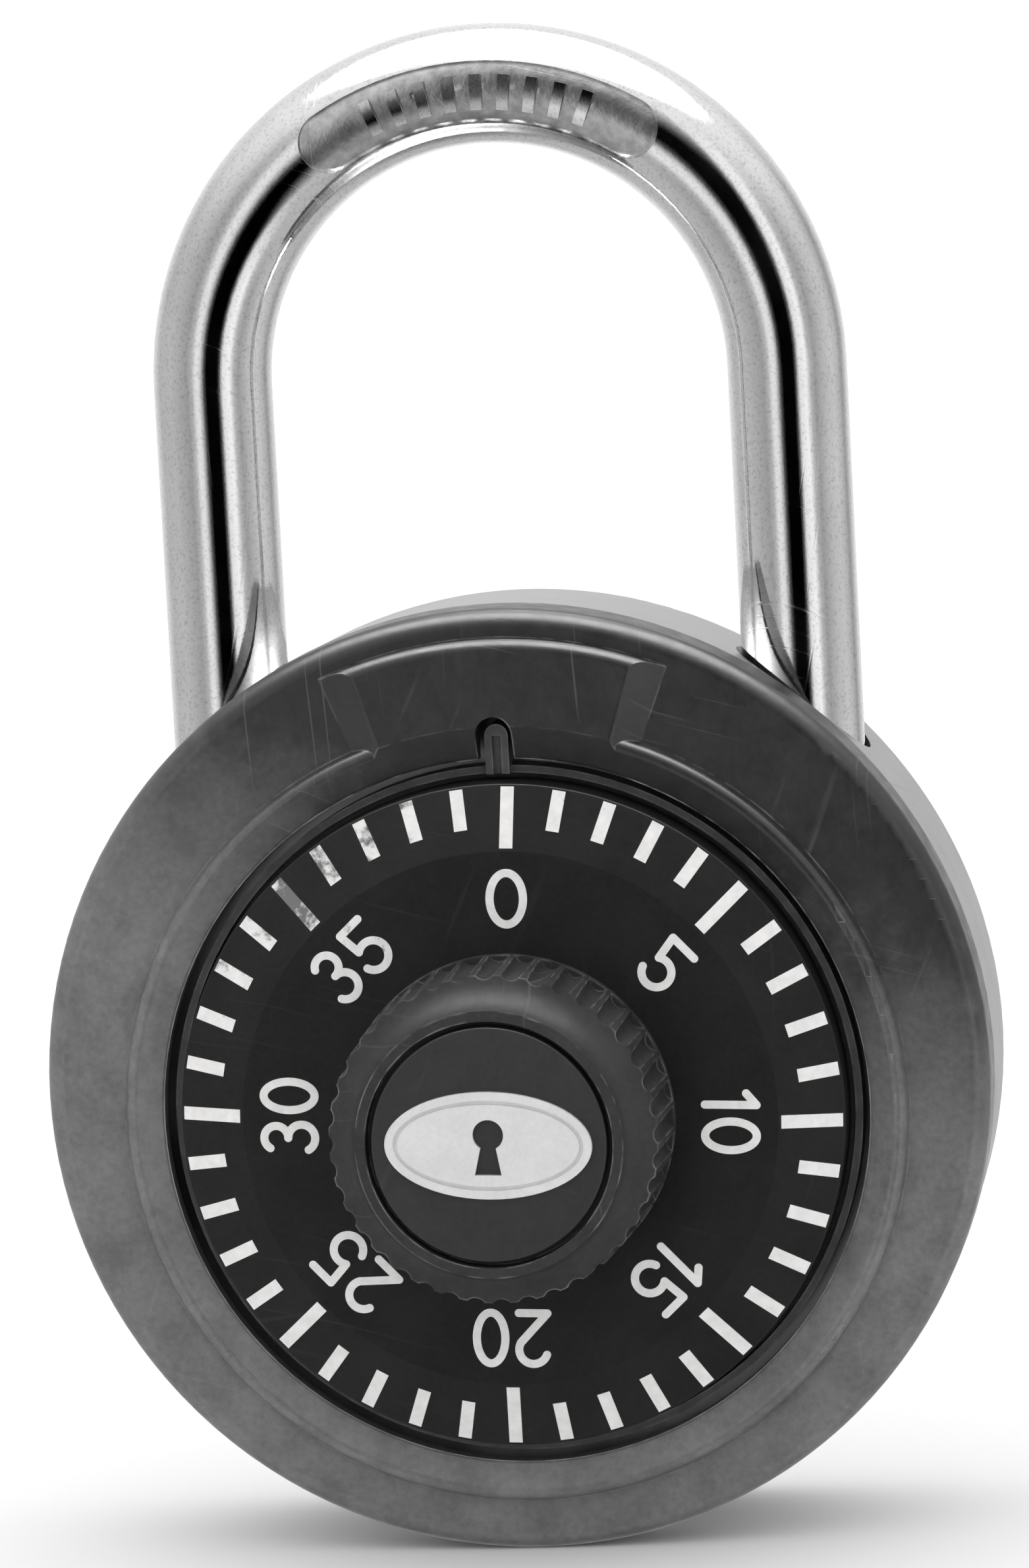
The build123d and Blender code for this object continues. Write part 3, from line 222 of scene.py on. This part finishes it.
# ---------------------------------------------------------------- finishes
# Painted light on the bezel: its paint is lightened towards the bottom and the left, standing in for how
# the light falls.
PAINTED_LIGHT_LEAN = 0.35  # how much the painted light favours the left over the right
PAINTED_LIGHT_WANDER = 3 * MM
PAINTED_LIGHT_TOP = 17 * MM  # above this height there is no painted light and the paint keeps its own dark colour
PAINTED_LIGHT_BOTTOM = 2 * MM  # below this height the paint is fully lightened by painted light


def painted(name, colour, patch, patch_share, rough, rough_range, grain, bump, scuff_and_highlight_colour, edge_wear_and_highlight, scratch,
            seed, specular=0.5, painted_light_colour=None):
    """Paint, lacquer or moulded plastic: mottled, finely pebbled, scuffed, with edges lightened for worn
    paint and painted highlight. An optional lighter colour adds painted light towards the bottom.
    """
    material, nodes, place = begin(name)
    cloud = nodes.noise(place, patch, 4.0, 0.6)
    fine = nodes.noise(place, grain, 2.0, 0.6)
    shade = nodes.span(nodes.plus(nodes.times(cloud, 0.6), nodes.times(fine, 0.4)), 0.36, 0.64)
    base = nodes.mottle(shade, colour, patch_share)
    if painted_light_colour:
        # Painted light: the paint is made paler towards the bottom, and a little more so on the left, for
        # how the light falls.
        x, y, z = nodes.split(place)
        level = nodes.plus(z, nodes.times(x, PAINTED_LIGHT_LEAN))
        level = nodes.plus(level, nodes.span(cloud, 0.3, 0.7, -PAINTED_LIGHT_WANDER, PAINTED_LIGHT_WANDER))
        pale = nodes.mottle(shade, painted_light_colour, patch_share)
        base = nodes.blend(nodes.span(level, PAINTED_LIGHT_TOP, PAINTED_LIGHT_BOTTOM, smooth=True), base, pale)
    lines = scratches(nodes, place, seed, scratch)
    # Edges and scratches take the lighter colour: worn paint, and on the bezel also a painted highlight.
    edges_worn_and_lit = nodes.times(edge_mask(nodes, place), edge_wear_and_highlight)
    base = nodes.blend(nodes.math("MAXIMUM", edges_worn_and_lit, nodes.times(lines, 0.5)), base, scuff_and_highlight_colour)
    uneven = nodes.noise(place, patch * 2.3, 3.0)
    roughness = nodes.span(uneven, 0.3, 0.7, rough - rough_range, rough + rough_range)
    roughness = nodes.plus(roughness, nodes.times(lines, 0.08))
    height = nodes.minus(fine, nodes.times(lines, 0.6))
    end(nodes, base, roughness, height, bump, 0.0, Specular_IOR_Level=specular)
    return material


def metal(name, colour, rough, rough_range, seed, turned=0.0, patch_share=0.06, grain=3000.0,
          bump=(0.15, 0.02 * MM), stain=0.0):
    """Bare or plated metal: cloudy, grained, scratched; turned adds lines round the dial axis."""
    patch = 180.0
    material, nodes, place = begin(name)
    cloud = nodes.noise(place, patch, 4.0, 0.6)
    fine = nodes.noise(place, grain, 2.0, 0.55)
    rings = nodes.noise(around_axis(nodes, place), RING_SCALE, 2.0, 0.7)
    lines = scratches(nodes, place, seed, 0.5)
    base = nodes.mottle(nodes.span(cloud, 0.32, 0.68), colour, patch_share)
    if turned:
        base = nodes.blend(nodes.span(rings, 0.3, 0.7, 0.0, turned * 0.35), base, dimmed(colour, 0.7))
    if stain:
        spots = nodes.span(nodes.noise(place, patch * 3.1, 5.0, 0.7), 0.56, 0.7, 0.0, stain)
        base = nodes.blend(spots, base, dimmed(colour, 0.45))
    roughness = nodes.span(cloud, 0.3, 0.7, rough - rough_range, rough + rough_range)
    roughness = nodes.plus(roughness, nodes.times(lines, 0.12))
    height = nodes.minus(nodes.times(fine, 1 - turned), nodes.times(lines, 0.8))
    if turned:
        height = nodes.plus(height, nodes.times(rings, turned))
    end(nodes, base, roughness, height, bump, 1.0)
    return material


WORN_CENTRE = DIAL_CENTRE + Vector((-0.55 * DIAL_R, 0, 0.76 * DIAL_R))
WORN_REACH = 9 * MM


def white_fill(name):
    """White paint in the dial's cuts, chipped and thinned most at the upper left where fingers rub it."""
    material, nodes, place = begin(name)
    x, y, z = nodes.split(place)
    flat = nodes.join(x, WORN_CENTRE.y, z)
    nearness = nodes.span(nodes.vector("DISTANCE", flat, tuple(WORN_CENTRE)), 0.0, WORN_REACH, 0.2, 0.0)
    chips = nodes.noise(place, 950.0, 4.0, 0.65)
    broad = nodes.noise(place, 210.0, 2.0, 0.5)
    level = nodes.plus(nodes.plus(nodes.times(chips, 0.55), nodes.times(broad, 0.45)), nearness)
    chipped = nodes.span(level, 0.64, 0.72)
    dirt = nodes.span(nodes.noise(place, 1700.0, 3.0, 0.6), 0.3, 0.7)
    paint = nodes.blend(dirt, grey(0.74, 0.01), grey(0.86, 0.01))
    base = nodes.blend(chipped, paint, grey(0.16))
    height = nodes.minus(nodes.times(dirt, 0.3), chipped)
    roughness = nodes.span(dirt, 0, 1, 0.42, 0.6)
    end(nodes, base, roughness, height, (0.4, 0.03 * MM), 0.0)
    return material


def recess_mask(nodes, place):
    """The floor of the crown's stamped recess, found by depth, side and angle round the crown."""
    x, y, z = nodes.split(place)
    rise = nodes.minus(z, CROWN_CENTRE.z)
    out = nodes.minus(nodes.hypotenuse(x, rise), CROWN_R)
    from_front = nodes.minus(CROWN_CENTRE.y, y)
    depth = nodes.hypotenuse(out, from_front)
    angle = nodes.math("ABSOLUTE", nodes.math("ARCTAN2", x, rise))
    inside = nodes.span(depth, ROD_R - 0.16 * MM, ROD_R - 0.06 * MM, 1.0, 0.0)
    on_front = nodes.span(from_front, 0.3 * ROD_R, 0.4 * ROD_R)
    near_top = nodes.span(angle, math.radians(40), math.radians(42), 1.0, 0.0)
    return nodes.times(nodes.times(inside, on_front), near_top)


def shackle_chrome(name):
    """Bright plating with fine pits, and a matt, pebbled floor in the crown's stamped recess."""
    material, nodes, place = begin(name)
    fine = nodes.noise(place, 5200.0, 3.0, 0.65)
    cloud = nodes.noise(place, 260.0, 4.0, 0.6)
    pebble = nodes.noise(place, 1500.0, 3.0, 0.6)
    lines = scratches(nodes, place, 0.7, 0.6)
    recess = recess_mask(nodes, place)
    bright = nodes.blend(nodes.span(cloud, 0.3, 0.7), grey(0.86), grey(0.94))
    bright = nodes.blend(nodes.span(fine, 0.3, 0.5), grey(0.66), bright)
    dull = nodes.blend(nodes.span(pebble, 0.35, 0.65), grey(0.5), grey(0.74))
    base = nodes.blend(recess, bright, dull)
    roughness = nodes.plus(nodes.span(cloud, 0.3, 0.7, 0.05, 0.1), nodes.times(lines, 0.15))
    roughness = nodes.plus(roughness, nodes.times(recess, 0.22))
    height = nodes.minus(nodes.times(fine, 0.25), nodes.times(lines, 0.5))
    height = nodes.plus(height, nodes.times(nodes.times(recess, pebble), 3.0))
    end(nodes, base, roughness, height, (0.45, 0.014 * MM), 1.0)
    return material


FINISHES = {
    # Bezel: painted light lightens the paint towards the bottom and the left, and its lighter edges are
    # worn paint and painted highlight together.
    "bezel_black": painted(
        "bezel_black", grey(0.017), patch=420.0, patch_share=0.25, rough=0.36, rough_range=0.06,
        grain=2600.0, bump=(0.35, 0.02 * MM), scuff_and_highlight_colour=grey(0.3), edge_wear_and_highlight=0.85, scratch=0.3, seed=0.1,
        specular=0.9, painted_light_colour=grey(0.15)),
    "dial_black": painted(
        "dial_black", grey(0.0125), patch=240.0, patch_share=0.25, rough=0.42, rough_range=0.05,
        grain=3600.0, bump=(0.2, 0.01 * MM), scuff_and_highlight_colour=grey(0.06), edge_wear_and_highlight=0.4, scratch=0.35, seed=0.2,
        specular=0.3),
    "knob_black": painted(
        "knob_black", grey(0.036), patch=500.0, patch_share=0.18, rough=0.5, rough_range=0.05,
        grain=3000.0, bump=(0.3, 0.02 * MM), scuff_and_highlight_colour=grey(0.26), edge_wear_and_highlight=0.9, scratch=0.25, seed=0.3,
        specular=0.3),
    "cap_black": painted(
        "cap_black", grey(0.03), patch=380.0, patch_share=0.15, rough=0.4, rough_range=0.05,
        grain=3400.0, bump=(0.2, 0.015 * MM), scuff_and_highlight_colour=grey(0.1), edge_wear_and_highlight=0.4, scratch=0.3, seed=0.4),
    "emblem_grey": painted(
        "emblem_grey", grey(0.68), patch=600.0, patch_share=0.06, rough=0.4, rough_range=0.06,
        grain=3800.0, bump=(0.2, 0.015 * MM), scuff_and_highlight_colour=grey(0.5), edge_wear_and_highlight=0.4, scratch=0.3, seed=0.5),
    "index_grey": painted(
        "index_grey", grey(0.075), patch=700.0, patch_share=0.2, rough=0.42, rough_range=0.06,
        grain=3200.0, bump=(0.3, 0.02 * MM), scuff_and_highlight_colour=grey(0.3), edge_wear_and_highlight=0.5, scratch=0.3, seed=0.6),
    "white_fill": white_fill("white_fill"),
    "shackle_chrome": shackle_chrome("shackle_chrome"),
    "satin_steel": metal(
        "satin_steel", grey(0.42), rough=0.3, rough_range=0.05, turned=0.5, stain=0.1, seed=0.8),
    "zinc_plate": metal(
        "zinc_plate", grey(0.55, -0.02), rough=0.38, rough_range=0.08, patch_share=0.12, stain=0.25,
        seed=0.9),
    "bright_steel": metal(
        "bright_steel", grey(0.6), rough=0.26, rough_range=0.06, turned=0.6, seed=1.0),
    "brass": metal(
        "brass", (0.72, 0.52, 0.22, 1.0), rough=0.3, rough_range=0.08, turned=0.3, patch_share=0.1,
        stain=0.3, seed=1.1),
    "spring_steel": metal(
        "spring_steel", grey(0.36, -0.03), rough=0.33, rough_range=0.06, patch_share=0.1, seed=1.2),
    "cast_zinc": metal(
        "cast_zinc", grey(0.42, -0.02), rough=0.52, rough_range=0.08, patch_share=0.12, grain=1600.0,
        bump=(0.5, 0.04 * MM), stain=0.2, seed=1.3),
}

slot_of = {part["node"]: part["material_slot"] for part in frame["record"]["subparts"]}
for name, thing in frame["nodes"].items():
    for slot in thing.material_slots:
        slot.material = FINISHES[slot_of[name]]

# ---------------------------------------------------------------- floor
FLOOR_HALF = 6.0


def add_floor():
    """A wide, level floor under the lowest point of the lock, which reflections don't see."""
    level = cad_box[0].z
    corners = [(x * FLOOR_HALF, y * FLOOR_HALF, level) for x, y in ((-1, -1), (1, -1), (1, 1), (-1, 1))]
    mesh = bpy.data.meshes.new("floor")
    mesh.from_pydata(corners, [], [(0, 1, 2, 3)])
    floor = bpy.data.objects.new("floor", mesh)
    bpy.context.scene.collection.objects.link(floor)
    material, nodes, place = begin("floor_white")
    cloud = nodes.noise(place, 9.0, 3.0)
    base = nodes.blend(cloud, grey(0.9), grey(0.93))
    end(nodes, base, nodes.span(cloud, 0, 1, 0.75, 0.85), cloud, (0.05, 0.1 * MM), 0.0)
    mesh.materials.append(material)
    floor.visible_glossy = False


add_floor()

# ---------------------------------------------------------------- camera
CAMERA_AZIMUTH = math.radians(8.317)
CAMERA_ELEVATION = math.radians(7.087)
CAMERA_ROLL = math.radians(-3.075)
CAMERA_DISTANCE = 408 * MM
CAMERA_LENS = 177.4
CAMERA_NEAR = 10 * MM
CAMERA_FAR = 50
AIM_SHIFT = Vector((0.55, 0, 0.45)) * MM  # from the middle of the lock's box


def add_camera():
    """A long lens, a little to the right of the lock and above it, rolled slightly."""
    back = Vector((
        math.sin(CAMERA_AZIMUTH) * math.cos(CAMERA_ELEVATION),
        -math.cos(CAMERA_AZIMUTH) * math.cos(CAMERA_ELEVATION),
        math.sin(CAMERA_ELEVATION),
    ))
    level_right = Vector((math.cos(CAMERA_AZIMUTH), math.sin(CAMERA_AZIMUTH), 0))
    level_up = back.cross(level_right)
    right = math.cos(CAMERA_ROLL) * level_right + math.sin(CAMERA_ROLL) * level_up
    up = back.cross(right)
    turn = Matrix((right, up, back)).transposed().to_4x4()
    aim = (cad_box[0] + cad_box[1]) / 2 + AIM_SHIFT
    camera = bpy.data.objects.new("camera", bpy.data.cameras.new("camera"))
    camera.data.lens = CAMERA_LENS
    camera.data.clip_start = CAMERA_NEAR
    camera.data.clip_end = CAMERA_FAR
    camera.matrix_world = Matrix.Translation(aim + back * CAMERA_DISTANCE) @ turn
    bpy.context.scene.collection.objects.link(camera)
    bpy.context.scene.camera = camera


add_camera()

# ---------------------------------------------------------------- studio
# Brightness of the tent's sides, by the angle in degrees round the vertical from the front.
TENT_SIDES = (
    (-180, 0.95), (-150, 0.75), (-125, 0.5), (-90, 0.52), (-50, 0.36), (-40, 0.5), (-33, 0.85), (-26, 0.8),
    (-17, 0.08), (-12, 0.0), (10, 0.0), (14, 0.1), (20, 0.85), (33, 1.0), (42, 0.5), (52, 0.36),
    (75, 0.55), (95, 0.62), (112, 0.5), (125, 0.34), (150, 0.75), (180, 0.95),
)
# What the sides turn into, step by step: angles above the horizon where it starts and ends, and brightness.
TENT_STEPS = ((14, 48, 0.88), (48, 66, 8.0), (-20, -45, 0.5), (-50, -75, 0.2))
HORIZON_LIGHT = 0.72
OVERHEAD_LIGHT = 1.4
OVERHEAD_FROM = 70
BACKDROP = 1.0


def side_ramp(nodes, turn):
    """The tent's sides as a colour ramp over the whole turn."""
    ramp = nodes.add("ValToRGB", Fac=nodes.span(turn, -180, 180))
    elements = ramp.color_ramp.elements
    while len(elements) > 1:
        elements.remove(elements[-1])
    for index, (degrees, value) in enumerate(TENT_SIDES):
        element = elements[0] if index == 0 else elements.new(degrees / 360 + 0.5)
        element.position = degrees / 360 + 0.5
        element.color = grey(value)
    return ramp.outputs["Color"]


def add_studio():
    """Soft white light, stronger from above. Reflections see a tent with a dark front and a bright top."""
    world = bpy.data.worlds.new("studio")
    world.use_nodes = True
    bpy.context.scene.world = world
    nodes = Nodes(world.node_tree)
    x, y, z = nodes.split(nodes.add("TexCoord").outputs["Generated"])
    across = nodes.plus(nodes.times(x, math.cos(CAMERA_AZIMUTH)), nodes.times(y, math.sin(CAMERA_AZIMUTH)))
    ahead = nodes.minus(nodes.times(x, math.sin(CAMERA_AZIMUTH)), nodes.times(y, math.cos(CAMERA_AZIMUTH)))
    turn = nodes.math("DEGREES", nodes.math("ARCTAN2", across, ahead))
    climb = nodes.math("DEGREES", nodes.math("ARCSINE", z))
    tent = side_ramp(nodes, turn)
    for start, stop, value in TENT_STEPS:
        tent = nodes.blend(nodes.span(climb, start, stop, smooth=True), tent, grey(value))
    rise = nodes.span(climb, 0, OVERHEAD_FROM, smooth=True)
    overhead = nodes.blend(rise, grey(HORIZON_LIGHT), grey(OVERHEAD_LIGHT))
    ray = nodes.add("LightPath").outputs
    backdrop = nodes.blend(ray["Is Camera Ray"], overhead, grey(BACKDROP))
    colour = nodes.blend(ray["Is Glossy Ray"], backdrop, tent)
    background = nodes.add("Background", Color=colour, Strength=1.0)
    output = nodes.add("OutputWorld")
    nodes.tree.links.new(background.outputs[0], output.inputs[0])


add_studio()
bpy.context.scene.view_settings.view_transform = "Standard"
